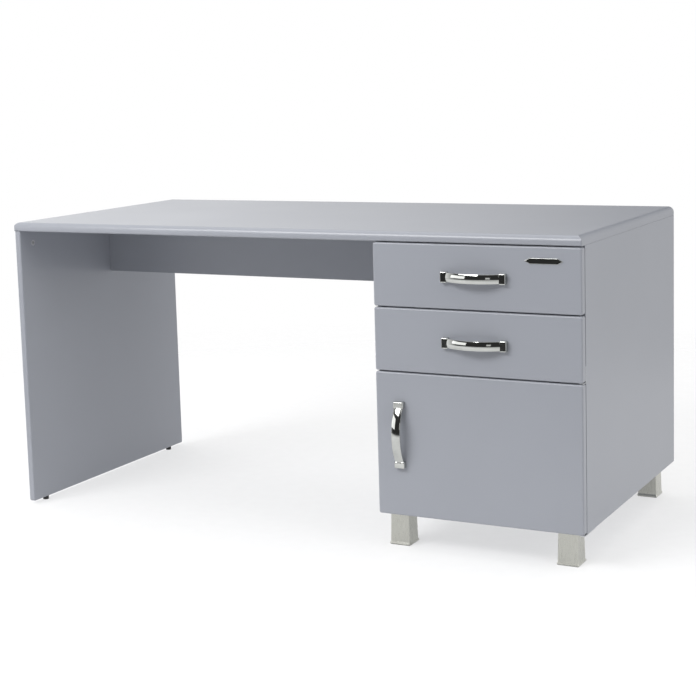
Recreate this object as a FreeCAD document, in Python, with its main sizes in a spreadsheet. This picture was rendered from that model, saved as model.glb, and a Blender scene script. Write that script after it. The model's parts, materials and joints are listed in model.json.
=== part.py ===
import FreeCAD, Part
import math
import os
import re

import Sketcher
from FreeCAD import Placement, Rotation, Vector

# A writing desk: a desktop on an end panel at the left and on a pedestal at the right, with two
# drawers over a door.  Millimetres.  The desk is laid out from its left end (x), from the plane of
# its fronts (y) and from the floor (z); place() moves that layout to the model's origin, which is
# on the floor under the middle of the whole desk, handles included.

SIZES = {
    # whole desk
    "width": 1500,
    "depth": 700,
    "height": 730,
    # desktop
    "top_thick": 22,
    "top_end_round": 14,
    "top_end_ease": 0.8,
    "top_front_round": 13,
    "top_low_round": 4,
    "top_corner_round": 4,
    # boards
    "board": 18,
    "end_board": 16,
    "end_inset": 3,
    "end_short": 11,
    "end_round": 3,
    "end_cam_front": 50,
    "end_cam_back": 90,
    "glide_height": 8,
    "glide_radius": 7.5,
    "glide_front": 55.5,
    "glide_back": 62.5,
    "peg_radius": 2.5,
    "peg_length": 16,
    "back_board": 6,
    "back_inset": 2,
    "rail_depth": 80,
    "rail_cam": 24,
    "modesty_set_back": 376,
    "modesty_height": 146.5,
    "modesty_cam_low": 35,
    "modesty_cam_high": 85,
    "modesty_cam_left": 320,
    "modesty_cam_right": 700,
    # pedestal and its fronts
    "pedestal": 488,
    "base_height": 83.5,
    "front_thick": 18.5,
    "front_gap": 3.2,
    "seam": 2.5,
    "drawer_pitch": 146,
    "door_lift": 1,
    "corner_round": 5,
    "edge_round": 4,
    "side_cam": 130,
    "level_cam_front": 150,
    "level_cam_back": 200,
    "shelf_height": 240,
    "shelf_play": 1,
    "shelf_set_back": 45,
    "shelf_pin_inset": 100,
    "shelf_pin_in": 8,
    "shelf_pin_out": 7,
    # drawer boxes
    "drawer_board": 12,
    "drawer_box": 100,
    "drawer_lift": 16,
    "drawer_length": 560,
    "drawer_floor": 6,
    "groove_depth": 6,
    "groove_lift": 10,
    "corner_screw_low": 28,
    "corner_screw_high": 82,
    "front_screw_low": 22,
    "front_screw_high": 74,
    "front_screw_inset": 45,
    # telescopic slides
    "slide_thick": 12.7,
    "slide_length": 550,
    "slide_set_back": 24,
    "slide_lift": 47,
    "sheet": 1.2,
    "outer_half": 22.5,
    "outer_tip": 10,
    "middle_half": 18.2,
    "middle_tip": 11,
    "inner_half": 14,
    "inner_tip": 4.6,
    # handles
    "handle_length": 153,
    "handle_reach": 29,
    "handle_holes": 128,
    "strap_height": 21,
    "strap_thick": 5.5,
    "strap_crown": 2.2,
    "strap_round": 0.8,
    "strap_half": 67,
    "bow_radius": 122,
    "foot_long": 16,
    "foot_height": 25,
    "foot_thick": 12,
    "foot_round": 3,
    "handle_screw_radius": 2,
    "handle_screw_head": 4,
    "handle_head_thick": 2.2,
    "handle_screw_bite": 8,
    "door_handle_inset": 59,
    "door_handle_height": 272,
    # accent bar on the upper drawer
    "bar_length": 88,
    "bar_height": 13,
    "bar_thick": 1.8,
    "bar_round": 1,
    "bar_inset": 84,
    "bar_drop": 31,
    # legs
    "leg_foot": 51.5,
    "leg_low": 48,
    "leg_high": 44.5,
    "leg_plate": 1.6,
    "leg_flare": 4.4,
    "leg_round": 2.2,
    "leg_pad": 1.5,
    "leg_hollow": 34,
    "leg_hollow_height": 56,
    "leg_left": 30.5,
    "leg_right": 52.5,
    "leg_front": 67.5,
    "leg_back": 35.4,
    "stud_radius": 4,
    "stud_length": 32,
    "stud_in": 12,
    "insert_radius": 6,
    "insert_length": 13,
    # door hinges and catch
    "pivot_inset": 6,
    "pivot_back": 12,
    "pivot_play": 0.7,
    "pin_radius": 2,
    "pin_length": 9,
    "bush_radius": 4,
    "bush_length": 10,
    "bush_play": 0.05,
    "bracket_wide": 12,
    "bracket_thick": 1.6,
    "flange_thick": 2,
    "flange_height": 36,
    "flange_screw_low": 12,
    "flange_screw_high": 28,
    "low_plate": 2,
    "low_plate_length": 64,
    "low_screw_front": 36,
    "low_screw_back": 64,
    "catch_thick": 12,
    "catch_depth": 40,
    "catch_height": 30,
    "catch_drop": 12,
    "catch_play": 0.4,
    "catch_web": 4,
    "catch_screw_front": 14,
    "catch_screw_back": 30,
    "strike_thick": 1,
    "strike_inset": 1,
    "strike_height": 24,
    "bumper_radius": 4,
    "bumper_thick": 2.9,
    "bumper_low": 50,
    "bumper_high": 110,
    "door_bumper_low": 25,
    "door_bumper_high": 40,
    # knock-down fittings and screws
    "cam_radius": 7.5,
    "cam_depth": 12.5,
    "cross_long": 9,
    "cross_wide": 1.8,
    "cross_deep": 2.5,
    "cam_reach": 34,
    "bolt_radius": 3.5,
    "bolt_length": 24,
    "thread_radius": 2.5,
    "thread_length": 11,
    "neck_radius": 2,
    "dowel_radius": 4,
    "dowel_length": 30,
    "dowel_spacing": 32,
    "screw_radius": 1.75,
    "screw_head": 3.2,
    "head_thick": 1,
    "screw_play": 0.3,
    "short_screw": 10,
    "case_screw": 14,
    "back_screw": 22,
    "front_screw": 25,
    "corner_screw": 35,
    "back_screw_inset": 90,
}

X = Vector(1, 0, 0)
Y = Vector(0, 1, 0)
Z = Vector(0, 0, 1)

# The way to a dowel from the bolt beside it, where there is less room than usual.
CLOSE = Z * 0.6

DOC = FreeCAD.newDocument("WritingDesk")
SHEET = DOC.addObject("Spreadsheet::Sheet", "Sizes")
for row, (alias, size) in enumerate(SIZES.items(), 1):
    SHEET.set(f"A{row}", alias)
    SHEET.set(f"B{row}", str(size))
    SHEET.setAlias(f"B{row}", alias)
DOC.recompute()

PARTS = []
TOOLS = {}

# Levels and planes that many pieces share.
UNDERSIDE = "(height - top_thick)"
CASE_LEFT = "(width - pedestal)"
CASE_INNER_LEFT = "(width - pedestal + board)"
CASE_INNER_RIGHT = "(width - board)"
CASE_INNER = "(pedestal - 2 * board)"
CASE_FRONT = "(front_thick + front_gap)"
CASE_BACK = "(depth - back_inset - back_board)"
DIVIDER_LOW = "(height - top_thick - 2 * drawer_pitch - board)"
DOOR_TOP = "(height - top_thick - 2 * drawer_pitch - seam)"
DOOR_LOW = "(base_height + door_lift)"
CROWN_RADIUS = "(strap_height ^ 2 / 4 + strap_crown ^ 2) / (2 * strap_crown)"
SLIDE_SCREWS = ["slide_set_back + 40", "slide_set_back + slide_length / 2",
                "slide_set_back + slide_length - 40"]


# ---------------------------------------------------------------- helpers

def formula(text):
    """Write each sheet alias in the text as a reference to the sheet."""
    return re.sub(r"[a-z_]+", lambda m: "Sizes." + m[0] if m[0] in SIZES else m[0], str(text))


def number(text):
    """The value that a formula has now, for the first drawing of a sketch."""
    return float(SHEET.evalExpression(formula(text)))


def bind(item, **sizes):
    for name, text in sizes.items():
        item.setExpression(name, formula(text))
    return item


def place(item, x, y, z, turn=Rotation()):
    """Put an item at a point of the desk, turned as asked."""
    item.Placement = Placement(Vector(), turn)
    item.setExpression("Placement.Base.x", formula(f"{x} - width / 2"))
    item.setExpression("Placement.Base.y", formula(f"{y} + (handle_reach - depth) / 2"))
    item.setExpression("Placement.Base.z", formula(z))
    return item


def keep(label, item):
    """Count an item as a finished sub-part of the desk."""
    item.Label = label
    PARTS.append(item)
    return item


def box(label, x, y, z, length, width, height):
    item = DOC.addObject("Part::Box", label)
    bind(item, Length=length, Width=width, Height=height)
    return place(item, x, y, z)


def rod(label, x, y, z, radius, length, axis=Z):
    item = DOC.addObject("Part::Cylinder", label)
    bind(item, Radius=radius, Height=length)
    return place(item, x, y, z, Rotation(Z, axis))


def fused(label, members):
    item = DOC.addObject("Part::MultiFuse", label)
    item.Shapes = members
    return item


def group(label, members):
    """Separate, identical pieces kept as one sub-part."""
    item = DOC.addObject("Part::Compound", label)
    item.Links = members
    return keep(label, item)


def cut(label, blank, tools):
    item = DOC.addObject("Part::Cut", label)
    item.Base = blank
    item.Tool = tools[0] if len(tools) == 1 else fused(label + "_tools", tools)
    return item


def bored(label, blank):
    """Finish a sub-part by taking out the room for everything that is fastened into it."""
    blank.Label = label + "_blank"
    return keep(label, cut(label, blank, TOOLS[label]))


def drill(item, *labels):
    """Note that the sub-parts named have a hole of this item's shape."""
    for label in labels:
        TOOLS.setdefault(label, []).append(item)
    return item


def new_body(label):
    return DOC.addObject("PartDesign::Body", label + "_body")


def sketch_on(body, role, lift=None):
    """A sketch on one of the body's own planes, lifted off it by a formula."""
    sketch = body.newObject("Sketcher::SketchObject", body.Name + "_sketch")
    plane = [item for item in body.Origin.OriginFeatures if item.Role == role][0]
    sketch.AttachmentSupport = (plane, "")
    sketch.MapMode = "FlatFace"
    if lift is not None:
        sketch.setExpression("AttachmentOffset.Base.z", formula(lift))
    return sketch


def outline(sketch, corners):
    """A closed outline of straight lines; each corner is a pair of formulas."""
    points = [Vector(number(across), number(up), 0) for across, up in corners]
    first = sketch.GeometryCount
    for start, end in zip(points, points[1:] + points[:1]):
        sketch.addGeometry(Part.LineSegment(start, end))
    for index, (across, up) in enumerate(corners):
        line = first + index
        following = first + (index + 1) % len(corners)
        sketch.addConstraint(Sketcher.Constraint("Coincident", line, 2, following, 1))
        for kind, text in (("DistanceX", across), ("DistanceY", up)):
            value = number(text)
            mark = sketch.addConstraint(Sketcher.Constraint(kind, -1, 1, line, 1, value))
            sketch.setExpression(f"Constraints[{mark}]", formula(text))


def rectangle(sketch, width, height, left="0", low="0"):
    right = f"{left} + {width}"
    high = f"{low} + {height}"
    outline(sketch, [(left, low), (right, low), (right, high), (left, high)])


def pad(body, sketch, length, reverse=False, middle=False):
    feature = body.newObject("PartDesign::Pad", body.Name + "_pad")
    feature.Profile = sketch
    feature.Reversed = reverse
    feature.Midplane = middle
    bind(feature, Length=length)
    DOC.recompute()
    return feature


def soften(body, radius, wanted):
    """Round the edges of the body's last feature for which wanted(edge) is true."""
    base = body.Tip
    edges = enumerate(base.Shape.Edges, 1)
    names = [f"Edge{index}" for index, edge in edges if wanted(edge)]
    feature = body.newObject("PartDesign::Fillet", body.Name + "_round")
    feature.Base = (base, names)
    bind(feature, Radius=radius)
    DOC.recompute()
    return feature


def spans(edge, axis):
    """How far an edge reaches along an axis of its body."""
    bounds = edge.BoundBox
    return {"x": bounds.XLength, "y": bounds.YLength, "z": bounds.ZLength}[axis]


def runs_along(edge, axis):
    others = {"x": "yz", "y": "xz", "z": "xy"}[axis]
    return spans(edge, axis) > 1 and all(spans(edge, other) < 0.01 for other in others)


# ---------------------------------------------------------------- fasteners

def screw(label, x, y, z, axis, length):
    """A round-headed wood screw: the point given is under its head, the axis runs to its tip."""
    shank = rod(label + "_shank", x, y, z, "screw_radius", length, axis)
    back = [f"{at} - {step} * head_thick" for at, step in zip((x, y, z), axis)]
    head = rod(label + "_head", *back, "screw_head", "head_thick", axis)
    return fused(label, [shank, head])


CAMS = []
BOLTS = []
DOWELS = []


def driver_cross(count, point, into, face, side):
    """The cross in a cam's face that a screwdriver turns it by."""
    arms = []
    for name, along, over in (("up", into, side), ("over", side, into)):
        sizes = [f"{abs(a)} * cross_long + {abs(b)} * cross_wide + {abs(c)} * 2 * cross_deep"
                 for a, b, c in zip(along, over, face)]
        corner = [f"{at} - ({size}) / 2" for at, size in zip(point, sizes)]
        arms.append(box(f"cam_cross_{name}_{count}", *corner, *sizes))
    return fused(f"cam_cross_{count}", arms)


def cam_joint(home, mate, point, into, face, half, side):
    """A cam fitting and a dowel between two boards.

    point is on the joint, at the middle of the home board's thickness.  The bolt runs along into
    from the mate board into the home board, whose cam housing is bored in along face, from half
    the board's thickness away.  The dowel is set off along side.
    """
    count = len(CAMS)
    cam_at = [f"{at} + {step} * cam_reach - {turn} * {half}"
              for at, step, turn in zip(point, into, face)]
    blank = rod(f"cam_blank_{count}", *cam_at, "cam_radius", "cam_depth", face)

    thread_at = [f"{at} - {step} * thread_length" for at, step in zip(point, into)]
    neck_at = [f"{at} + {step} * bolt_length" for at, step in zip(point, into)]
    bolt = fused(f"cam_bolt_{count}", [
        rod(f"bolt_thread_{count}", *thread_at, "thread_radius", "thread_length", into),
        rod(f"bolt_shank_{count}", *point, "bolt_radius", "bolt_length", into),
        rod(f"bolt_neck_{count}", *neck_at, "neck_radius", "cam_reach - bolt_length", into),
    ])
    cross = driver_cross(count, cam_at, into, face, side)
    housing = cut(f"cam_housing_{count}", blank, [bolt, cross])

    dowel_at = [f"{at} + {offset} * dowel_spacing - {step} * thread_length"
                for at, offset, step in zip(point, side, into)]
    dowel = rod(f"dowel_{count}", *dowel_at, "dowel_radius", "dowel_length", into)

    drill(blank, home)
    drill(bolt, home, mate)
    drill(dowel, home, mate)
    CAMS.append(housing)
    BOLTS.append(bolt)
    DOWELS.append(dowel)


# ---------------------------------------------------------------- desktop

def desktop():
    """A board rolled over at its ends and along its front: what three rounded outlines share."""
    thick = SIZES["top_thick"]
    seen_from_front = new_body("desktop_across")
    sketch = sketch_on(seen_from_front, "XZ_Plane")
    rectangle(sketch, "width", "top_thick")
    pad(seen_from_front, sketch, "depth", reverse=True)
    soften(seen_from_front, "top_end_round",
           lambda edge: runs_along(edge, "y") and edge.BoundBox.ZMin > thick - 0.1)
    soften(seen_from_front, "top_end_ease",
           lambda edge: runs_along(edge, "y") and edge.BoundBox.ZMax < 0.1)

    seen_from_side = new_body("desktop_along")
    sketch = sketch_on(seen_from_side, "YZ_Plane")
    rectangle(sketch, "depth", "top_thick")
    pad(seen_from_side, sketch, "width")
    soften(seen_from_side, "top_front_round",
           lambda edge: edge.BoundBox.YMax < 0.1 and edge.BoundBox.ZMin > thick - 0.1)
    soften(seen_from_side, "top_low_round",
           lambda edge: edge.BoundBox.YMax < 0.1 and edge.BoundBox.ZMax < 0.1)

    seen_from_above = new_body("desktop_plan")
    sketch = sketch_on(seen_from_above, "XY_Plane")
    rectangle(sketch, "width", "depth")
    pad(seen_from_above, sketch, "top_thick")
    soften(seen_from_above, "top_corner_round",
           lambda edge: runs_along(edge, "z") and edge.BoundBox.YMax < 0.1)

    board = DOC.addObject("Part::MultiCommon", "desktop_board")
    board.Shapes = [seen_from_front, seen_from_side, seen_from_above]
    board.Refine = True
    place(board, "0", "0", UNDERSIDE)
    bored("desktop", board)


# ---------------------------------------------------------------- end panel and modesty panel

def end_panel():
    """The left support: its lower corners are rounded in the side view, its front edge is eased."""
    body = new_body("end_panel")
    sketch = sketch_on(body, "YZ_Plane")
    rectangle(sketch, "depth - end_short", "height - top_thick - glide_height")
    pad(body, sketch, "end_board")
    soften(body, "corner_round",
           lambda edge: runs_along(edge, "x") and edge.BoundBox.ZMax < 0.1)
    soften(body, "end_round",
           lambda edge: runs_along(edge, "z") and edge.BoundBox.YMax < 0.1)
    place(body, "end_inset", "0", "glide_height")

    middle = "(end_inset + end_board / 2)"
    for y in ("end_cam_front", "depth - end_short - end_cam_back"):
        cam_joint("end_panel", "desktop", (middle, y, UNDERSIDE), -Z, -X, "end_board / 2", Y)

    glides = []
    for index, y in enumerate(("glide_front", "depth - end_short - glide_back")):
        disc = rod(f"glide_disc_{index}", middle, y, "0", "glide_radius", "glide_height")
        pin = rod(f"glide_pin_{index}", middle, y, "glide_height", "peg_radius", "peg_length")
        glides.append(drill(fused(f"glide_{index}", [disc, pin]), "end_panel"))
    group("panel_glides", glides)
    bored("end_panel", body)


def modesty_panel():
    left = "(end_inset + end_board)"
    low = "(height - top_thick - modesty_height)"
    blank = box("modesty_blank", left, "modesty_set_back", low,
                f"width - pedestal - {left}", "board", "modesty_height")
    middle = "(modesty_set_back + board / 2)"
    for z in (f"{low} + modesty_cam_low", f"{low} + modesty_cam_high"):
        cam_joint("modesty_panel", "end_panel", (left, middle, z), X, -Y, "board / 2", CLOSE)
        cam_joint("modesty_panel", "pedestal_side_left", (CASE_LEFT, middle, z), -X, -Y,
                  "board / 2", CLOSE)
    for x in ("modesty_cam_left", "modesty_cam_right"):
        cam_joint("modesty_panel", "desktop", (x, middle, UNDERSIDE), -Z, -Y, "board / 2", X)
    return blank


# ---------------------------------------------------------------- pedestal case

def pedestal_sides():
    """Two upright boards, from the legs up to the desktop."""
    for label, left, face in (("pedestal_side_left", CASE_LEFT, -X),
                              ("pedestal_side_right", CASE_INNER_RIGHT, X)):
        blank = box(label + "_board", left, CASE_FRONT, "base_height", "board",
                    f"depth - {CASE_FRONT}", f"{UNDERSIDE} - base_height")
        for y in ("side_cam", "depth - side_cam"):
            cam_joint(label, "desktop", (f"{left} + board / 2", y, UNDERSIDE), -Z, face,
                      "board / 2", Y)
        yield label, blank


def level_board(label, y, z, depth, joints):
    """A level board between the pedestal's sides, held by cams at the y places given."""
    blank = box(label + "_board", CASE_INNER_LEFT, y, z, CASE_INNER, depth, "board")
    middle = f"({z} + board / 2)"
    for joint in joints:
        cam_joint(label, "pedestal_side_left", (CASE_INNER_LEFT, joint, middle), X, Z,
                  "board / 2", Y)
        cam_joint(label, "pedestal_side_right", (CASE_INNER_RIGHT, joint, middle), -X, Z,
                  "board / 2", Y)
    return label, blank


def pedestal_case():
    blanks = list(pedestal_sides())
    reach = f"{CASE_BACK} - {CASE_FRONT}"
    deep_joints = ("level_cam_front", "depth - level_cam_back")
    blanks.append(level_board("pedestal_bottom", CASE_FRONT, "base_height", reach, deep_joints))
    blanks.append(level_board("drawer_divider", CASE_FRONT, DIVIDER_LOW, reach, deep_joints))
    rail_low = f"({UNDERSIDE} - board)"
    rear = f"({CASE_BACK} - rail_depth)"
    for label, y in (("top_rail_front", CASE_FRONT), ("top_rail_rear", rear)):
        blanks.append(level_board(label, y, rail_low, "rail_depth", (f"{y} + rail_cam",)))
    back = box("pedestal_back_board", CASE_INNER_LEFT, CASE_BACK, "base_height", CASE_INNER,
               "back_board", f"{UNDERSIDE} - base_height")
    blanks.append(("pedestal_back", back))
    return blanks


def adjustable_shelf():
    """A loose shelf behind the door, on four steel pins."""
    item = box("adjustable_shelf", f"{CASE_INNER_LEFT} + shelf_play",
               f"{CASE_FRONT} + shelf_set_back", "shelf_height",
               f"{CASE_INNER} - 2 * shelf_play",
               f"{CASE_BACK} - {CASE_FRONT} - 2 * shelf_set_back", "board")
    keep("adjustable_shelf", item)
    pins = []
    for label, x in (("pedestal_side_left", f"{CASE_INNER_LEFT} - shelf_pin_in"),
                     ("pedestal_side_right", f"{CASE_INNER_RIGHT} - shelf_pin_out")):
        for y in ("shelf_pin_inset", "depth - shelf_pin_inset"):
            pin = rod(f"shelf_pin_{len(pins)}", x, y, "shelf_height - peg_radius", "peg_radius",
                      "shelf_pin_in + shelf_pin_out", X)
            pins.append(drill(pin, label))
    group("shelf_pins", pins)


# ---------------------------------------------------------------- legs

def rounded_square(sketch, side, radius):
    """A square about the sketch's origin, with its corners rounded."""
    half = number(side) / 2
    bend = number(radius)
    straight = half - bend
    for turn in range(4):
        spin = Rotation(Z, 90 * turn)
        start = spin.multVec(Vector(-straight, -half, 0))
        end = spin.multVec(Vector(straight, -half, 0))
        centre = spin.multVec(Vector(straight, -straight, 0))
        quarter = math.pi / 2
        circle = Part.Circle(centre, Z, bend)
        sketch.addGeometry(Part.LineSegment(start, end))
        sketch.addGeometry(Part.ArcOfCircle(circle, quarter * (turn - 1), quarter * turn))
    for turn in range(4):
        line = 2 * turn
        arc = line + 1
        direction = "Horizontal" if turn % 2 == 0 else "Vertical"
        sketch.addConstraint(Sketcher.Constraint("Tangent", line, 2, arc, 1))
        sketch.addConstraint(Sketcher.Constraint("Tangent", arc, 2, (line + 2) % 8, 1))
        sketch.addConstraint(Sketcher.Constraint(direction, line))
        bound = sketch.addConstraint(Sketcher.Constraint("Radius", arc, bend))
        sketch.setExpression(f"Constraints[{bound}]", formula(radius))
        across = "DistanceY" if turn % 2 == 0 else "DistanceX"
        ends = (line, 1, -1, 1) if turn in (0, 3) else (-1, 1, line, 1)
        reach = sketch.addConstraint(Sketcher.Constraint(across, *ends, half))
        sketch.setExpression(f"Constraints[{reach}]", formula(f"({side}) / 2"))


def leg(label, x, y, studs, inserts, pads):
    """A tapered, hollow square column on a flared foot, held to the pedestal by a stud."""
    body = new_body(label)
    sections = []
    for lift, side in (("0", "leg_foot"),
                       ("leg_plate", "leg_foot"),
                       ("leg_plate + leg_flare", "leg_low"),
                       ("base_height - leg_pad", "leg_high")):
        sketch = sketch_on(body, "XY_Plane", lift)
        rounded_square(sketch, side, "leg_round")
        sections.append(sketch)
    loft = body.newObject("PartDesign::AdditiveLoft", label + "_loft")
    loft.Profile = sections[0]
    loft.Sections = sections[1:]
    loft.Ruled = True
    DOC.recompute()
    place(body, x, y, "leg_pad")

    hollow = box(f"{label}_hollow", f"{x} - leg_hollow / 2", f"{y} - leg_hollow / 2", "leg_pad",
                 "leg_hollow", "leg_hollow", "leg_hollow_height")
    drill(hollow, label)
    stud = rod(f"stud_{len(studs)}", x, y, "base_height + stud_in - stud_length", "stud_radius",
               "stud_length")
    sleeve = rod(f"insert_blank_{len(studs)}", x, y, "base_height", "insert_radius",
                 "insert_length")
    drill(stud, label)
    drill(sleeve, "pedestal_bottom")
    studs.append(stud)
    inserts.append(cut(f"insert_{len(inserts)}", sleeve, [stud]))
    pads.append(box(f"pad_{len(pads)}", f"{x} - leg_low / 2", f"{y} - leg_low / 2", "0",
                    "leg_low", "leg_low", "leg_pad"))
    bored(label, body)


def legs():
    studs = []
    inserts = []
    pads = []
    left = f"({CASE_LEFT} + leg_left)"
    for depth_name, y in (("front", "leg_front"), ("rear", "(depth - leg_back)")):
        for side_name, x in (("left", left), ("right", "(width - leg_right)")):
            leg(f"leg_{depth_name}_{side_name}", x, y, studs, inserts, pads)
    group("leg_studs", studs)
    group("leg_inserts", inserts)
    group("leg_pads", pads)


# ---------------------------------------------------------------- handles

def handle_bow(label):
    """The bowed strap: a slab with a rounded face, swept round an upright axis behind it."""
    body = new_body(label + "_bow")
    sketch = sketch_on(body, "YZ_Plane")
    half = SIZES["strap_height"] / 2
    inner = SIZES["strap_thick"] - SIZES["bow_radius"]
    edge = SIZES["strap_crown"] - SIZES["bow_radius"]
    crown = Vector(-SIZES["bow_radius"], 0, 0)
    corners = [Vector(edge, half, 0), Vector(inner, half, 0), Vector(inner, -half, 0),
               Vector(edge, -half, 0)]
    for start, end in zip(corners, corners[1:]):
        sketch.addGeometry(Part.LineSegment(start, end))
    sketch.addGeometry(Part.Arc(corners[0], crown, corners[3]))
    for constraint in (("Coincident", 0, 2, 1, 1), ("Coincident", 1, 2, 2, 1),
                       ("Coincident", 2, 2, 3, 2), ("Coincident", 3, 1, 0, 1),
                       ("Horizontal", 0), ("Horizontal", 2), ("Vertical", 1),
                       ("PointOnObject", 3, 3, -1)):
        sketch.addConstraint(Sketcher.Constraint(*constraint))
    for constraint, text in ((("DistanceY", -1, 1, 0, 1, half), "strap_height / 2"),
                             (("DistanceX", 1, 1, -1, 1, -inner), "bow_radius - strap_thick"),
                             (("DistanceX", 0, 1, -1, 1, -edge), "bow_radius - strap_crown"),
                             (("Radius", 3, number(CROWN_RADIUS)), CROWN_RADIUS)):
        mark = sketch.addConstraint(Sketcher.Constraint(*constraint))
        sketch.setExpression(f"Constraints[{mark}]", formula(text))
    sweep = body.newObject("PartDesign::Revolution", label + "_sweep")
    sweep.Profile = sketch
    sweep.ReferenceAxis = (sketch, ["V_Axis"])
    sweep.Midplane = True
    bind(sweep, Angle="2 * asin(strap_half / bow_radius)")
    DOC.recompute()
    soften(body, "strap_round", lambda edge: spans(edge, "x") > SIZES["strap_half"])
    body.setExpression("Placement.Base.y", formula("bow_radius - handle_reach"))
    return body


def handle_foot(label, side):
    """A square end block with eased edges."""
    body = new_body(label)
    sketch = sketch_on(body, "XY_Plane")
    left = "handle_length / 2 - foot_long" if side > 0 else "-handle_length / 2"
    rectangle(sketch, "foot_long", "foot_thick", f"({left})", "(-foot_thick)")
    pad(body, sketch, "foot_height", middle=True)
    soften(body, "foot_round", lambda edge: edge.BoundBox.YMin < -0.1)
    return body


def handle(label, screws_label, x, z, turn, fronts, stack):
    """A bow handle whose middle is at x and z on the front, with its two screws from behind."""
    blank = fused(label + "_blank", [handle_bow(label),
                                     handle_foot(label + "_foot_low", -1),
                                     handle_foot(label + "_foot_high", 1)])
    place(blank, x, "0", z, turn)
    along = turn.multVec(X)
    screws = []
    for side in (-1, 1):
        at = [f"{middle} + {side * step} * handle_holes / 2"
              for middle, step in zip((x, stack, z), along)]
        shank = rod(f"{label}_shank_{side + 1}", *at, "handle_screw_radius",
                    f"{stack} + handle_screw_bite", -Y)
        head = rod(f"{label}_head_{side + 1}", *at, "handle_screw_head", "handle_head_thick", Y)
        screws.append(fused(f"{label}_screw_{side + 1}", [shank, head]))
        drill(shank, label, *fronts)
    group(screws_label, screws)
    bored(label, blank)


# ---------------------------------------------------------------- drawers and their slides

def front_board(label, low, height, above="0"):
    """A drawer or door front: a rounded rectangle with a rounded front face edge."""
    body = new_body(label)
    sketch = sketch_on(body, "XZ_Plane")
    rectangle(sketch, "pedestal", height)
    pad(body, sketch, "front_thick", reverse=True)
    soften(body, "corner_round", lambda edge: runs_along(edge, "y"))
    soften(body, "edge_round", lambda edge: edge.BoundBox.YMax < 0.1)
    return place(body, CASE_LEFT, above, low)


def grooved(label, x, y, z, long, turn, groove_from):
    """A drawer board on edge, with the groove for the drawer's bottom along its length."""
    body = new_body(label)
    sketch = sketch_on(body, "XZ_Plane")
    high = "groove_lift + drawer_floor"
    mouth = "drawer_board" if groove_from > 0 else "0"
    floor = "drawer_board - groove_depth" if groove_from > 0 else "groove_depth"
    corners = [("0", "0"), ("drawer_board", "0"), ("drawer_board", "drawer_box"),
               ("0", "drawer_box")]
    groove = [(mouth, "groove_lift"), (floor, "groove_lift"), (floor, high), (mouth, high)]
    if groove_from > 0:
        corners[2:2] = groove
    else:
        corners += groove[::-1]
    outline(sketch, corners)
    pad(body, sketch, long, reverse=True)
    return place(body, x, y, z, turn)


def channel(label, web_from, web_to, flange_to, half, x, y, z, side, long="slide_length"):
    """A slide member: a C section that opens away from its web, along the whole slide.

    Its distances across are taken from the pedestal's side inwards.  The member on the right is
    the one on the left turned half round.
    """
    body = new_body(label)
    sketch = sketch_on(body, "XZ_Plane")
    if number(flange_to) > number(web_to):
        near, far, tip = web_from, web_to, flange_to
    else:
        near, far, tip = web_to, web_from, flange_to
    within = f"({half} - sheet)"
    outline(sketch, [(near, f"-{half}"), (tip, f"-{half}"), (tip, f"-{within}"),
                     (far, f"-{within}"), (far, within), (tip, within), (tip, half),
                     (near, half)])
    pad(body, sketch, long, reverse=True)
    if side > 0:
        return place(body, x, y, z)
    return place(body, x, f"{y} + {long}", z, Rotation(Z, 180))


def slide_members(name, low):
    """The outer, middle and inner members of a drawer's two slides."""
    height = f"({low} + drawer_lift + slide_lift)"
    sections = {
        "outer": ("0", "sheet", "outer_tip", "outer_half"),
        "middle": ("2 * sheet", "3 * sheet", "middle_tip", "middle_half"),
        "inner": ("slide_thick - sheet", "slide_thick", "inner_tip", "inner_half"),
    }
    for member, (web_from, web_to, tip, half) in sections.items():
        pair = []
        for side_name, side, x in (("left", 1, CASE_INNER_LEFT), ("right", -1, CASE_INNER_RIGHT)):
            label = f"{name}_slide_{member}_{side_name}"
            pair.append(channel(label, web_from, web_to, tip, half, x, "slide_set_back", height,
                                side))
        yield member, pair


def box_screws(name, box_left, box_right, box_front, box_low):
    """Screws at a drawer box's corners, through its inner front and through its slide members."""
    screws = []
    far = f"{box_front} + drawer_length"
    corners = ((f"{box_front} + drawer_board / 2", f"{name}_inner_front"),
               (f"{far} - drawer_board / 2", f"{name}_back"))
    for side_name, x, axis in (("left", box_left, X), ("right", box_right, -X)):
        for y, mate in corners:
            for lift in ("corner_screw_low", "corner_screw_high"):
                item = screw(f"{name}_screw_{len(screws)}", f"{x} + {axis.x} * head_thick", y,
                             f"{box_low} + {lift}", axis, "corner_screw")
                screws.append(drill(item, f"{name}_side_{side_name}", mate))
        for y in SLIDE_SCREWS:
            item = screw(f"{name}_screw_{len(screws)}", f"{x} - {axis.x} * sheet", y,
                         f"{box_low} + slide_lift", axis, "short_screw")
            screws.append(drill(item, f"{name}_side_{side_name}", f"{name}_slide_inner"))
    for x in (f"{box_left} + front_screw_inset", f"{box_right} - front_screw_inset"):
        for lift in ("front_screw_low", "front_screw_high"):
            item = screw(f"{name}_screw_{len(screws)}", x, f"{box_front} + drawer_board",
                         f"{box_low} + {lift}", -Y, "front_screw")
            screws.append(drill(item, f"{name}_front", f"{name}_inner_front"))
    return screws


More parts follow.
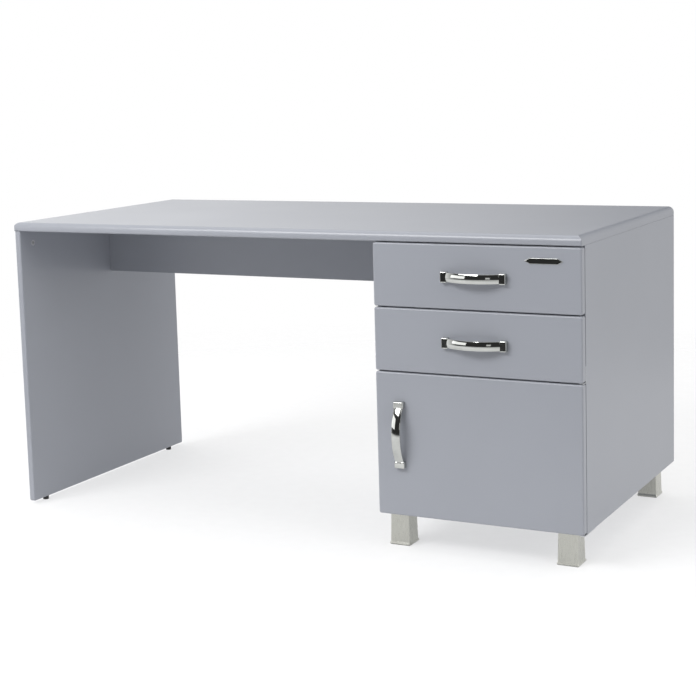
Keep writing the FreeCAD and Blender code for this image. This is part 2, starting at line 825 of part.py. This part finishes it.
def drawer(name, order):
    """One drawer: its front, box, handle, slides and screws."""
    low = f"(height - top_thick - {order} * drawer_pitch)"
    box_low = f"({low} + drawer_lift)"
    box_left = f"({CASE_INNER_LEFT} + slide_thick)"
    box_right = f"({CASE_INNER_RIGHT} - slide_thick)"
    inside = f"({CASE_INNER} - 2 * slide_thick - 2 * drawer_board)"
    box_front = "front_thick"
    front = front_board(f"{name}_front", low, "drawer_pitch - seam")

    sides = (("left", box_left, 1), ("right", f"({box_right} - drawer_board)", -1))
    boards = {}
    for side_name, x, groove in sides:
        label = f"{name}_side_{side_name}"
        boards[label] = grooved(label, x, box_front, box_low, "drawer_length", Rotation(), groove)
    across = Rotation(Z, -90)
    inner_left = f"({box_left} + drawer_board)"
    boards[f"{name}_inner_front"] = grooved(
        f"{name}_inner_front", inner_left, f"{box_front} + drawer_board", box_low, inside,
        across, -1)
    boards[f"{name}_back"] = grooved(
        f"{name}_back", inner_left, f"{box_front} + drawer_length", box_low, inside, across, 1)
    floor = box(f"{name}_bottom", f"{inner_left} - groove_depth",
                f"{box_front} + drawer_board - groove_depth", f"{box_low} + groove_lift",
                f"{inside} + 2 * groove_depth",
                "drawer_length - 2 * drawer_board + 2 * groove_depth", "drawer_floor")
    keep(f"{name}_bottom", floor)

    screws = box_screws(name, box_left, box_right, box_front, box_low)
    group(f"{name}_screws", screws)

    middle = f"({CASE_LEFT} + pedestal / 2)"
    handle(f"{name}_handle", f"{name}_handle_screws", middle,
           f"({low} + (drawer_pitch - seam) / 2)", Rotation(),
           (f"{name}_front", f"{name}_inner_front"), "(front_thick + drawer_board)")

    for label, blank in boards.items():
        bored(label, blank)
    bored(f"{name}_front", front)

    case_screws = []
    for member, pair in slide_members(name, low):
        if member == "outer":
            for side_name, x, axis in (("left", CASE_INNER_LEFT, -X),
                                       ("right", CASE_INNER_RIGHT, X)):
                label = f"{name}_slide_outer_{side_name}"
                for index, y in enumerate(SLIDE_SCREWS):
                    item = screw(f"{label}_screw_{index}", f"{x} - {axis.x} * sheet", y,
                                 f"{box_low} + slide_lift", axis, "case_screw")
                    case_screws.append(drill(item, label, f"pedestal_side_{side_name}"))
            for side_name, blank in zip(("left", "right"), pair):
                bored(f"{name}_slide_outer_{side_name}", blank)
        elif member == "middle":
            group(f"{name}_slide_middle", pair)
        else:
            pair_group = DOC.addObject("Part::Compound", f"{name}_inner_pair")
            pair_group.Links = pair
            bored(f"{name}_slide_inner", pair_group)
    return case_screws


def accent_bar():
    """A slim plain bar with pointed ends, on the upper drawer's front."""
    body = new_body("accent_bar")
    sketch = sketch_on(body, "XZ_Plane")
    half = "bar_length / 2"
    shoulder = "bar_length / 2 - bar_height"
    rise = "bar_height / 2"
    outline(sketch, [(f"-{half}", "0"), (f"-({shoulder})", f"-{rise}"), (shoulder, f"-{rise}"),
                     (half, "0"), (shoulder, rise), (f"-({shoulder})", rise)])
    pad(body, sketch, "bar_thick")
    thick = SIZES["bar_thick"]
    soften(body, "bar_round", lambda edge: edge.BoundBox.YMax < -thick + 0.1)
    place(body, "width - bar_inset", "0", f"{UNDERSIDE} - seam - bar_drop")
    keep("accent_bar", body)


# ---------------------------------------------------------------- door, hinges and catch

def hinge_brackets():
    """Cranked steel pivots: one on the case's front edge, one under it, each with a pin."""
    left = "(width - pivot_inset - bracket_wide / 2)"
    pin_x = "(width - pivot_inset)"
    tongue_low = f"({DOOR_TOP} + pivot_play)"
    tongue = box("upper_tongue", left, "pivot_back", tongue_low, "bracket_wide",
                 f"{CASE_FRONT} - pivot_back", "bracket_thick")
    eye = rod("upper_eye", pin_x, "pivot_back", tongue_low, "bracket_wide / 2", "bracket_thick")
    flange = box("upper_flange", left, f"{CASE_FRONT} - flange_thick", tongue_low,
                 "bracket_wide", "flange_thick", "flange_height")
    pin = rod("upper_pin", pin_x, "pivot_back", f"{tongue_low} - pin_length", "pin_radius",
              "pin_length + bracket_thick")
    upper = fused("hinge_bracket_upper_blank", [tongue, eye, flange, pin])

    low = "(base_height - low_plate)"
    plate = box("lower_plate", left, "pivot_back", low, "bracket_wide", "low_plate_length",
                "low_plate")
    low_eye = rod("lower_eye", pin_x, "pivot_back", low, "bracket_wide / 2", "low_plate")
    low_pin = rod("lower_pin", pin_x, "pivot_back", low, "pin_radius",
                  f"low_plate + door_lift + pin_length - pivot_play")
    lower = fused("hinge_bracket_lower_blank", [plate, low_eye, low_pin])

    screws = []
    for index, z in enumerate((f"{tongue_low} + flange_screw_low",
                               f"{tongue_low} + flange_screw_high")):
        item = screw(f"hinge_screw_upper_{index}", left + " + bracket_wide / 2",
                     f"{CASE_FRONT} - flange_thick + head_thick", z, Y, "case_screw")
        screws.append(drill(item, "hinge_bracket_upper", "pedestal_side_right"))
    for index, y in enumerate(("low_screw_front", "low_screw_back")):
        item = screw(f"hinge_screw_lower_{index}", left + " + bracket_wide / 2", y,
                     f"{low} + head_thick", Z, "case_screw")
        screws.append(drill(item, "hinge_bracket_lower", "pedestal_side_right"))
    bored("hinge_bracket_upper", upper)
    bored("hinge_bracket_lower", lower)
    return screws


def door_bushings():
    """Two plastic sleeves in the door's top and bottom edges, which turn on the pins."""
    pin_x = "(width - pivot_inset)"
    bushings = []
    for index, z in enumerate((f"{DOOR_TOP} - bush_length", DOOR_LOW)):
        sleeve = rod(f"bush_blank_{index}", pin_x, "pivot_back", z, "bush_radius", "bush_length")
        hole = rod(f"bush_hole_{index}", pin_x, "pivot_back", z, "pin_radius + bush_play",
                   "bush_length")
        drill(sleeve, "door_panel")
        bushings.append(cut(f"bushing_{index}", sleeve, [hole]))
    group("door_bushings", bushings)


def catch():
    """A magnetic catch inside the left side, and the steel plate on the door that it holds."""
    z = f"({DIVIDER_LOW} - catch_drop - catch_height)"
    front = f"({CASE_FRONT} - front_gap + strike_thick + catch_play)"
    blank = box("catch_blank", CASE_INNER_LEFT, front, z, "catch_thick", "catch_depth",
                "catch_height")
    screws = []
    for index, y in enumerate(("catch_screw_front", "catch_screw_back")):
        at = (f"{CASE_INNER_LEFT} + catch_web", f"{front} + {y}", f"{z} + catch_height / 2")
        well = rod(f"catch_well_{index}", *at, "screw_head + screw_play", "catch_thick", X)
        item = screw(f"catch_screw_{index}", *at, -X, "case_screw")
        drill(item, "pedestal_side_left", "door_catch")
        drill(well, "door_catch")
        screws.append(item)
    bored("door_catch", blank)
    plate = box("strike_plate", f"{CASE_INNER_LEFT} + strike_inset", "front_thick",
                f"{z} + (catch_height - strike_height) / 2", "catch_thick - 2 * strike_inset",
                "strike_thick", "strike_height")
    keep("door_strike_plate", plate)
    return screws


def door():
    front = front_board("door_panel", DOOR_LOW, f"{DOOR_TOP} - {DOOR_LOW}")
    door_bushings()
    handle("door_handle", "door_handle_screws", f"({CASE_LEFT} + door_handle_inset)",
           "door_handle_height", Rotation(Y, -90), ("door_panel",), "front_thick")
    bored("door_panel", front)


def bumpers():
    """Clear pads on the case's front edges, behind the fronts."""
    places = []
    left = f"{CASE_LEFT} + board / 2"
    right = "width - board / 2"
    for order in (1, 2):
        low = f"(height - top_thick - {order} * drawer_pitch)"
        for x in (left, right):
            for z in (f"{low} + bumper_low", f"{low} + bumper_high"):
                places.append((x, z))
    places += [(left, f"{DOOR_LOW} + door_bumper_low"), (left, f"{DOOR_TOP} - door_bumper_high")]
    pads = [rod(f"bumper_{index}", x, f"{CASE_FRONT} - bumper_thick", z, "bumper_radius",
                "bumper_thick", Y)
            for index, (x, z) in enumerate(places)]
    group("front_bumpers", pads)


def back_screws():
    """Screws through the back board into the level boards' rear edges."""
    screws = []
    middles = (("pedestal_bottom", "base_height + board / 2"),
               ("drawer_divider", f"{DIVIDER_LOW} + board / 2"),
               ("top_rail_rear", f"{UNDERSIDE} - board / 2"))
    for label, z in middles:
        for x in (f"{CASE_INNER_LEFT} + back_screw_inset",
                  f"{CASE_INNER_RIGHT} - back_screw_inset"):
            item = screw(f"back_screw_{len(screws)}", x, f"{CASE_BACK} + back_board", z, -Y,
                         "back_screw")
            screws.append(drill(item, "pedestal_back", label))
    return screws


# ---------------------------------------------------------------- the desk

def build():
    modesty_blank = modesty_panel()
    case = pedestal_case()
    adjustable_shelf()
    hardware = back_screws() + hinge_brackets() + catch()
    for order, name in enumerate(("upper_drawer", "lower_drawer"), 1):
        hardware += drawer(name, order)
    accent_bar()
    door()
    bumpers()
    legs()
    end_panel()
    desktop()
    bored("modesty_panel", modesty_blank)
    for label, blank in case:
        bored(label, blank)
    group("cam_housings", CAMS)
    group("cam_bolts", BOLTS)
    group("wooden_dowels", DOWELS)
    group("case_screws", hardware)


def check():
    """Stop with a message if any object failed or any sub-part is not a sound solid."""
    DOC.recompute()
    for item in DOC.Objects:
        if "Invalid" in item.State or "Error" in item.State:
            raise SystemExit(f"{item.Label} failed: {item.State}")
    for item in PARTS:
        shape = item.Shape
        if shape.isNull() or not shape.isValid() or not shape.Solids:
            raise SystemExit(f"{item.Label} is not a sound solid")


def export():
    os.makedirs("parts", exist_ok=True)
    for item in PARTS:
        item.Shape.exportStep(f"parts/{item.Label}.step")
    print(f"{len(PARTS)} sub-parts written")


build()
check()
export()
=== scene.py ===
import json
import math

import bpy
from mathutils import Matrix, Vector

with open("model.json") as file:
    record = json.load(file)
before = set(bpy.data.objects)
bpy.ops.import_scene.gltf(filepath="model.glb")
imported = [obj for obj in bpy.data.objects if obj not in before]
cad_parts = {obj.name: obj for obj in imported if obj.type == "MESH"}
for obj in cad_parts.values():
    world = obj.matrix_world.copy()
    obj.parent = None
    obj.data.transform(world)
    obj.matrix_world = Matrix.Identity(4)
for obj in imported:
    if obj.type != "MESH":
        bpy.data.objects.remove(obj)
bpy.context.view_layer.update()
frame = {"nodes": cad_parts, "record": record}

# A writing desk in satin grey-blue lacquer, seen from the front right in a white studio.
# Lengths are in metres, in the model's own frame: the floor is at z = 0, the fronts face -Y.

RECORD = frame["record"]
NODES = frame["nodes"]


# ---------------------------------------------------------------- node helpers

class Nodes:
    """The node tree of a material or a world, under construction."""

    def __init__(self, owner):
        owner.use_nodes = True
        self.tree = owner.node_tree
        self.tree.nodes.clear()

    def add(self, kind, **settings):
        node = self.tree.nodes.new(kind)
        for name, value in settings.items():
            setattr(node, name, value)
        return node

    def link(self, source, target):
        self.tree.links.new(source, target)

    def feed(self, socket, value):
        """Give a socket a number, a colour or another node's output."""
        if isinstance(value, (int, float)):
            socket.default_value = value
        elif isinstance(value, tuple):
            socket.default_value = (*value, 1.0)
        else:
            self.link(value, socket)

    def ranged(self, source, low, high, start=0.0, end=1.0):
        """The source, from start to end, spread over low to high."""
        node = self.add("ShaderNodeMapRange")
        for name, value in (("Value", source), ("From Min", start), ("From Max", end),
                            ("To Min", low), ("To Max", high)):
            self.feed(node.inputs[name], value)
        return node.outputs["Result"]


class Shade(Nodes):
    """A material with one Principled shader, whose textures lie in the object's own coordinates."""

    def __init__(self, name):
        self.material = bpy.data.materials.new(name)
        super().__init__(self.material)
        self.shader = self.add("ShaderNodeBsdfPrincipled")
        output = self.add("ShaderNodeOutputMaterial")
        self.link(self.shader.outputs["BSDF"], output.inputs["Surface"])
        self.place = self.add("ShaderNodeTexCoord").outputs["Object"]

    def set(self, **values):
        """Fixed values on the shader's own sockets."""
        for name, value in values.items():
            self.shader.inputs[name.replace("_", " ")].default_value = value

    def stretched(self, scale):
        """The object's own coordinates, scaled by x, y and z."""
        mapping = self.add("ShaderNodeMapping")
        mapping.inputs["Scale"].default_value = scale
        self.link(self.place, mapping.inputs["Vector"])
        return mapping.outputs["Vector"]

    def noise(self, scale, detail, rough=0.5, vector=None, warp=0.0):
        node = self.add("ShaderNodeTexNoise")
        node.inputs["Scale"].default_value = scale
        node.inputs["Detail"].default_value = detail
        node.inputs["Roughness"].default_value = rough
        node.inputs["Distortion"].default_value = warp
        self.link(vector or self.place, node.inputs["Vector"])
        return node.outputs["Fac"]

    def cells(self, scale):
        node = self.add("ShaderNodeTexVoronoi")
        node.inputs["Scale"].default_value = scale
        self.link(self.place, node.inputs["Vector"])
        return node.outputs["Distance"]

    def ramp(self, source, *stops):
        """Colours by the source's value; each stop is a place and a colour."""
        node = self.add("ShaderNodeValToRGB")
        bar = node.color_ramp
        while len(bar.elements) < len(stops):
            bar.elements.new(0.5)
        for element, (at, colour) in zip(bar.elements, stops):
            element.position = at
            element.color = (*colour, 1.0)
        self.link(source, node.inputs["Fac"])
        return node.outputs["Color"]

    def blended(self, factor, one, two):
        node = self.add("ShaderNodeMix", data_type="RGBA")
        for name, value in (("Factor", factor), ("A", one), ("B", two)):
            self.feed(node.inputs[name], value)
        return node.outputs["Result"]

    def bump(self, height, depth, strength, below=None):
        """Surface relief of the given depth in metres, over any relief below it."""
        node = self.add("ShaderNodeBump")
        node.inputs["Strength"].default_value = strength
        node.inputs["Distance"].default_value = depth
        self.link(height, node.inputs["Height"])
        if below is not None:
            self.link(below, node.inputs["Normal"])
        return node.outputs["Normal"]

    def finish(self, colour, roughness, normal=None):
        self.link(colour, self.shader.inputs["Base Color"])
        self.link(roughness, self.shader.inputs["Roughness"])
        if normal is not None:
            self.link(normal, self.shader.inputs["Normal"])
        return self.material


def tinted(colour, change):
    return tuple(channel * change for channel in colour)


# ---------------------------------------------------------------- materials

LACQUER = (0.330, 0.345, 0.385)

# How far light goes into pale plastic, in metres, for red, green and blue.
SOAK_DEPTH = (0.002, 0.002, 0.002)

# The floor is a disc that lets some of the white behind it through, and all of it at its rim.
FLOOR_MIDDLE = (0.0, 0.2, 0.0)
FLOOR_RADIUS = 2.7
FLOOR_COVER = 0.65
FLOOR_GLOW = 0.32
FLOOR_FADE_START = 0.6 * FLOOR_RADIUS
FLOOR_FADE_END = 0.98 * FLOOR_RADIUS


def lacquer():
    """Sprayed satin lacquer: even colour, a faint cloudiness and a fine orange-peel skin."""
    shade = Shade("lacquer")
    cloud = shade.noise(2.2, detail=3.0, rough=0.55)
    colour = shade.ramp(cloud, (0.3, tinted(LACQUER, 0.975)), (0.7, tinted(LACQUER, 1.02)))
    sheen = shade.ranged(shade.noise(3.0, detail=1.0), 0.285, 0.315, start=0.3, end=0.7)
    peel = shade.bump(shade.noise(260.0, detail=1.0), depth=0.00001, strength=0.4)
    shade.set(Specular_IOR_Level=0.5, Coat_Weight=0.12, Coat_Roughness=0.22)
    return shade.finish(colour, sheen, peel)


def carcass():
    """Foil-faced particle board inside the pedestal, a little duller than the lacquer."""
    shade = Shade("carcass_foil")
    grain = shade.noise(160.0, detail=3.0, rough=0.6)
    colour = shade.ramp(grain, (0.35, tinted(LACQUER, 0.93)), (0.65, tinted(LACQUER, 1.0)))
    skin = shade.bump(shade.noise(900.0, detail=2.0), depth=0.00005, strength=0.6)
    rough = shade.ranged(grain, 0.48, 0.6)
    return shade.finish(colour, rough, skin)


def drawer_foil():
    """Pale grey melamine with a fine linen print."""
    shade = Shade("drawer_foil")
    across = shade.noise(260.0, detail=2.0, rough=0.5, vector=shade.stretched((1.0, 1.0, 0.12)))
    along = shade.noise(260.0, detail=2.0, rough=0.5, vector=shade.stretched((1.0, 0.12, 1.0)))
    weave = shade.blended(0.5, across, along)
    colour = shade.ramp(weave, (0.35, (0.50, 0.50, 0.49)), (0.65, (0.60, 0.60, 0.585)))
    skin = shade.bump(weave, depth=0.00008, strength=0.5)
    rough = shade.ranged(across, 0.42, 0.55)
    return shade.finish(colour, rough, skin)


def hardboard():
    """Painted hardboard: short pressed fibres under a thin coat."""
    shade = Shade("hardboard")
    fibres = shade.noise(340.0, detail=4.0, rough=0.65, vector=shade.stretched((1.0, 0.35, 1.0)), warp=1.2)
    colour = shade.ramp(fibres, (0.3, (0.34, 0.345, 0.35)), (0.7, (0.43, 0.435, 0.44)))
    skin = shade.bump(fibres, depth=0.00012, strength=0.5)
    return shade.finish(colour, shade.ranged(fibres, 0.55, 0.72), skin)


def chrome():
    """Polished chrome with faint waviness from its casting and hairline polishing marks."""
    shade = Shade("chrome")
    shade.set(Metallic=1.0)
    smear = shade.noise(38.0, detail=3.0, rough=0.6)
    colour = shade.ramp(smear, (0.3, (0.50, 0.51, 0.49)), (0.7, (0.58, 0.59, 0.57)))
    rough = shade.ranged(smear, 0.035, 0.075, start=0.3, end=0.7)
    wave = shade.bump(shade.noise(55.0, detail=1.0), depth=0.00016, strength=0.5)
    marks = shade.noise(2600.0, detail=1.0, rough=0.5, vector=shade.stretched((1.0, 1.0, 0.06)))
    skin = shade.bump(marks, depth=0.000004, strength=0.4, below=wave)
    return shade.finish(colour, rough, skin)


def satin_metal():
    """Satin nickel on the cast legs: fine upright brushing, warmer and duller than chrome."""
    shade = Shade("satin_nickel")
    shade.set(Metallic=1.0, Anisotropic=0.35)
    brushing = shade.noise(1500.0, detail=3.0, rough=0.6, vector=shade.stretched((1.0, 1.0, 0.02)))
    colour = shade.ramp(brushing, (0.3, (0.52, 0.52, 0.475)), (0.7, (0.66, 0.66, 0.61)))
    rough = shade.ranged(brushing, 0.24, 0.38, start=0.3, end=0.7)
    skin = shade.bump(brushing, depth=0.00002, strength=0.5)
    return shade.finish(colour, rough, skin)


def zinc_steel():
    """Rolled steel with bright zinc plating: soft spangle and drawing lines."""
    shade = Shade("zinc_steel")
    shade.set(Metallic=1.0)
    spangle = shade.cells(170.0)
    lines = shade.noise(900.0, detail=2.0, rough=0.5, vector=shade.stretched((1.0, 0.02, 1.0)))
    colour = shade.ramp(spangle, (0.0, (0.52, 0.53, 0.55)), (0.8, (0.68, 0.69, 0.70)))
    rough = shade.ranged(lines, 0.26, 0.42, start=0.3, end=0.7)
    skin = shade.bump(lines, depth=0.00002, strength=0.5)
    return shade.finish(colour, rough, skin)


def zinc_cast():
    """Die-cast zinc: dull, slightly pitted."""
    shade = Shade("zinc_cast")
    shade.set(Metallic=1.0)
    pits = shade.noise(700.0, detail=4.0, rough=0.7)
    colour = shade.ramp(pits, (0.3, (0.62, 0.62, 0.63)), (0.7, (0.76, 0.76, 0.77)))
    skin = shade.bump(pits, depth=0.00006, strength=0.6)
    return shade.finish(colour, shade.ranged(pits, 0.38, 0.52), skin)


def brass():
    """Turned brass with tooling rings blurred by age."""
    shade = Shade("turned_brass")
    shade.set(Metallic=1.0)
    rings = shade.noise(1200.0, detail=2.0, rough=0.5, vector=shade.stretched((0.05, 0.05, 1.0)))
    colour = shade.ramp(rings, (0.3, (0.58, 0.42, 0.18)), (0.7, (0.76, 0.58, 0.28)))
    skin = shade.bump(rings, depth=0.00003, strength=0.5)
    return shade.finish(colour, shade.ranged(rings, 0.24, 0.4), skin)


def beech():
    """Bare beech: pale pinkish wood with short dark flecks."""
    shade = Shade("beech")
    grain = shade.noise(300.0, detail=4.0, rough=0.6, vector=shade.stretched((0.15, 1.0, 1.0)), warp=0.8)
    flecks = shade.noise(900.0, detail=2.0, rough=0.5, vector=shade.stretched((0.08, 1.0, 1.0)))
    base = shade.ramp(grain, (0.3, (0.50, 0.32, 0.19)), (0.7, (0.66, 0.47, 0.30)))
    dark = shade.ranged(flecks, 0.0, 0.6, start=0.6, end=0.75)
    colour = shade.blended(dark, base, (0.33, 0.19, 0.10))
    skin = shade.bump(grain, depth=0.00008, strength=0.5)
    return shade.finish(colour, shade.ranged(grain, 0.5, 0.68), skin)


def moulded(name, dark, light, smooth, rough, soak=0.0):
    """Moulded plastic or rubber: two tones, a range of roughness and how much light soaks in."""
    shade = Shade(name)
    shade.set(Subsurface_Weight=soak, Subsurface_Radius=SOAK_DEPTH)
    grain = shade.noise(1300.0, detail=3.0, rough=0.6)
    patch = shade.noise(60.0, detail=2.0, rough=0.5)
    colour = shade.ramp(patch, (0.3, dark), (0.7, light))
    skin = shade.bump(grain, depth=0.00005, strength=0.5)
    return shade.finish(colour, shade.ranged(grain, smooth, rough), skin)


def studio_floor():
    """Pale seamless paper, lit a little from below, that thins out at its rim."""
    shade = Shade("studio_paper")
    fibre = shade.noise(30.0, detail=3.0, rough=0.5)
    colour = shade.ramp(fibre, (0.3, (0.67, 0.67, 0.675)), (0.7, (0.69, 0.69, 0.695)))
    shade.set(Emission_Color=(1.0, 1.0, 1.0, 1.0), Emission_Strength=FLOOR_GLOW)
    span = shade.add("ShaderNodeVectorMath", operation="LENGTH")
    shade.link(shade.place, span.inputs[0])
    cover = shade.ranged(span.outputs["Value"], FLOOR_COVER, 0.0, FLOOR_FADE_START, FLOOR_FADE_END)
    shade.link(cover, shade.shader.inputs["Alpha"])
    return shade.finish(colour, shade.ranged(fibre, 0.75, 0.85))


FINISHES = {
    "lacquered_board": lacquer(),
    "carcass_board": carcass(),
    "drawer_board": drawer_foil(),
    "hardboard": hardboard(),
    "chrome": chrome(),
    "satin_metal": satin_metal(),
    "zinc_plated_steel": zinc_steel(),
    "zinc_cast": zinc_cast(),
    "brass": brass(),
    "beech": beech(),
    "rubber": moulded("rubber", (0.018, 0.018, 0.018), (0.03, 0.03, 0.03),
                      smooth=0.6, rough=0.8),
    "black_plastic": moulded("black_plastic", (0.012, 0.012, 0.013), (0.022, 0.022, 0.023),
                             smooth=0.35, rough=0.55),
    "white_plastic": moulded("white_plastic", (0.68, 0.68, 0.66), (0.76, 0.76, 0.74),
                             smooth=0.3, rough=0.45, soak=0.1),
    "clear_plastic": moulded("clear_plastic", (0.62, 0.63, 0.63), (0.72, 0.73, 0.73),
                             smooth=0.12, rough=0.25, soak=0.4),
}


def finish_nodes():
    """Every CAD node takes the finish of its slot in the record."""
    for entry in RECORD["subparts"]:
        node = NODES[entry["node"]]
        material = FINISHES[entry["material_slot"]]
        if not node.data.materials:
            node.data.materials.append(material)
        for slot in node.material_slots:
            slot.material = material


# ---------------------------------------------------------------- studio

# How bright the room is, where 1 is white. Both bright sides lie a little to the back.
FRONT_GLOW = 0.04
RIGHT_GLOW = 0.83
LEFT_GLOW = 1.55
CEILING_GLOW = 0.92
GROUND_GLOW = 0.65
TOWARDS_RIGHT = (0.894, 0.447, 0.0)
TOWARDS_LEFT = (-0.92, 0.39, 0.0)


class Sky(Nodes):
    """The studio round the desk, as numbers worked out from the direction of a ray."""

    def __init__(self, name):
        self.world = bpy.data.worlds.new(name)
        super().__init__(self.world)
        self.direction = self.add("ShaderNodeTexCoord").outputs["Generated"]

    def towards(self, axis):
        """How far a ray points along the axis, from -1 to 1."""
        node = self.add("ShaderNodeVectorMath", operation="DOT_PRODUCT")
        self.link(self.direction, node.inputs[0])
        node.inputs[1].default_value = axis
        return node.outputs["Value"]

    def background(self, strength):
        node = self.add("ShaderNodeBackground")
        self.feed(node.inputs["Color"], (1.0, 1.0, 1.0))
        self.feed(node.inputs["Strength"], strength)
        return node.outputs["Background"]

    def shown(self, seen, around):
        """One background behind the desk and another one for light and reflections."""
        path = self.add("ShaderNodeLightPath")
        mix = self.add("ShaderNodeMixShader")
        output = self.add("ShaderNodeOutputWorld")
        self.link(path.outputs["Is Camera Ray"], mix.inputs["Fac"])
        self.link(around, mix.inputs[1])
        self.link(seen, mix.inputs[2])
        self.link(mix.outputs["Shader"], output.inputs["Surface"])
        bpy.context.scene.world = self.world


def surroundings():
    """A room that is bright at the left, right, overhead and underfoot, and nearly dark in front."""
    sky = Sky("studio")
    up = sky.towards((0.0, 0.0, 1.0))
    right = sky.ranged(sky.towards(TOWARDS_RIGHT), FRONT_GLOW, RIGHT_GLOW, start=0.35, end=0.75)
    walls = sky.ranged(sky.towards(TOWARDS_LEFT), right, LEFT_GLOW, start=0.55, end=1.0)
    above = sky.ranged(up, walls, CEILING_GLOW, start=0.5, end=0.8)
    around = sky.ranged(up, GROUND_GLOW, above, start=-0.24, end=-0.18)
    sky.shown(sky.background(1.0), sky.background(around))


def soft_light(name, place, aim, size, power):
    """A rectangular area light: its place and size in metres, the point it faces, its watts."""
    light = bpy.data.lights.new(name, "AREA")
    light.shape = "RECTANGLE"
    light.size, light.size_y = size
    light.energy = power
    lamp = bpy.data.objects.new(name, light)
    lamp.location = place
    lamp.rotation_euler = (Vector(aim) - Vector(place)).to_track_quat("-Z", "Y").to_euler()
    bpy.context.scene.collection.objects.link(lamp)


def studio():
    """A pale floor, a studio for the reflections and five soft lights."""
    bpy.ops.mesh.primitive_circle_add(vertices=96, radius=FLOOR_RADIUS, fill_type="NGON",
                                      location=FLOOR_MIDDLE)
    floor = bpy.context.object
    floor.name = "floor"
    floor.data.materials.append(studio_floor())

    surroundings()
    soft_light("front", place=(-1.2, -3.2, 2.95), aim=(0.2, 0.0, 0.4), size=(3.0, 1.2), power=112.0)
    soft_light("left", place=(-2.9, -3.1, 1.15), aim=(0.0, 0.0, 0.5), size=(2.8, 1.6), power=22.0)
    soft_light("side", place=(4.6, -1.4, 2.9), aim=(0.75, 0.0, 0.6), size=(2.0, 1.6), power=32.0)
    soft_light("top", place=(0.0, 0.3, 3.6), aim=(0.0, 0.0, 0.4), size=(4.0, 3.0), power=14.0)
    soft_light("window", place=(1.5, -3.6, 0.8), aim=(0.5, -0.36, 0.65), size=(0.55, 0.9), power=1.1)
    bpy.context.scene.view_settings.view_transform = "Standard"


# ---------------------------------------------------------------- camera

def camera():
    """The camera at the desk's front right, above the desktop; its angles are in radians."""
    stand = Vector((1.7995, -3.4015, 1.0776))
    turn = 0.4811
    tilt = -0.1311
    roll = -0.0285
    frame_pixels = 696
    focus_pixels = 1547.7
    framing_shift = -0.1
    lens = bpy.data.cameras.new("camera")
    lens.sensor_width = 36.0
    lens.lens = focus_pixels * lens.sensor_width / frame_pixels
    lens.shift_y = framing_shift
    spot = bpy.data.objects.new("camera", lens)
    facing = Matrix.Rotation(turn, 4, "Z") @ Matrix.Rotation(math.pi / 2 + tilt, 4, "X")
    spot.matrix_world = Matrix.Translation(stand) @ facing @ Matrix.Rotation(roll, 4, "Z")
    bpy.context.scene.collection.objects.link(spot)
    bpy.context.scene.camera = spot


finish_nodes()
studio()
camera()
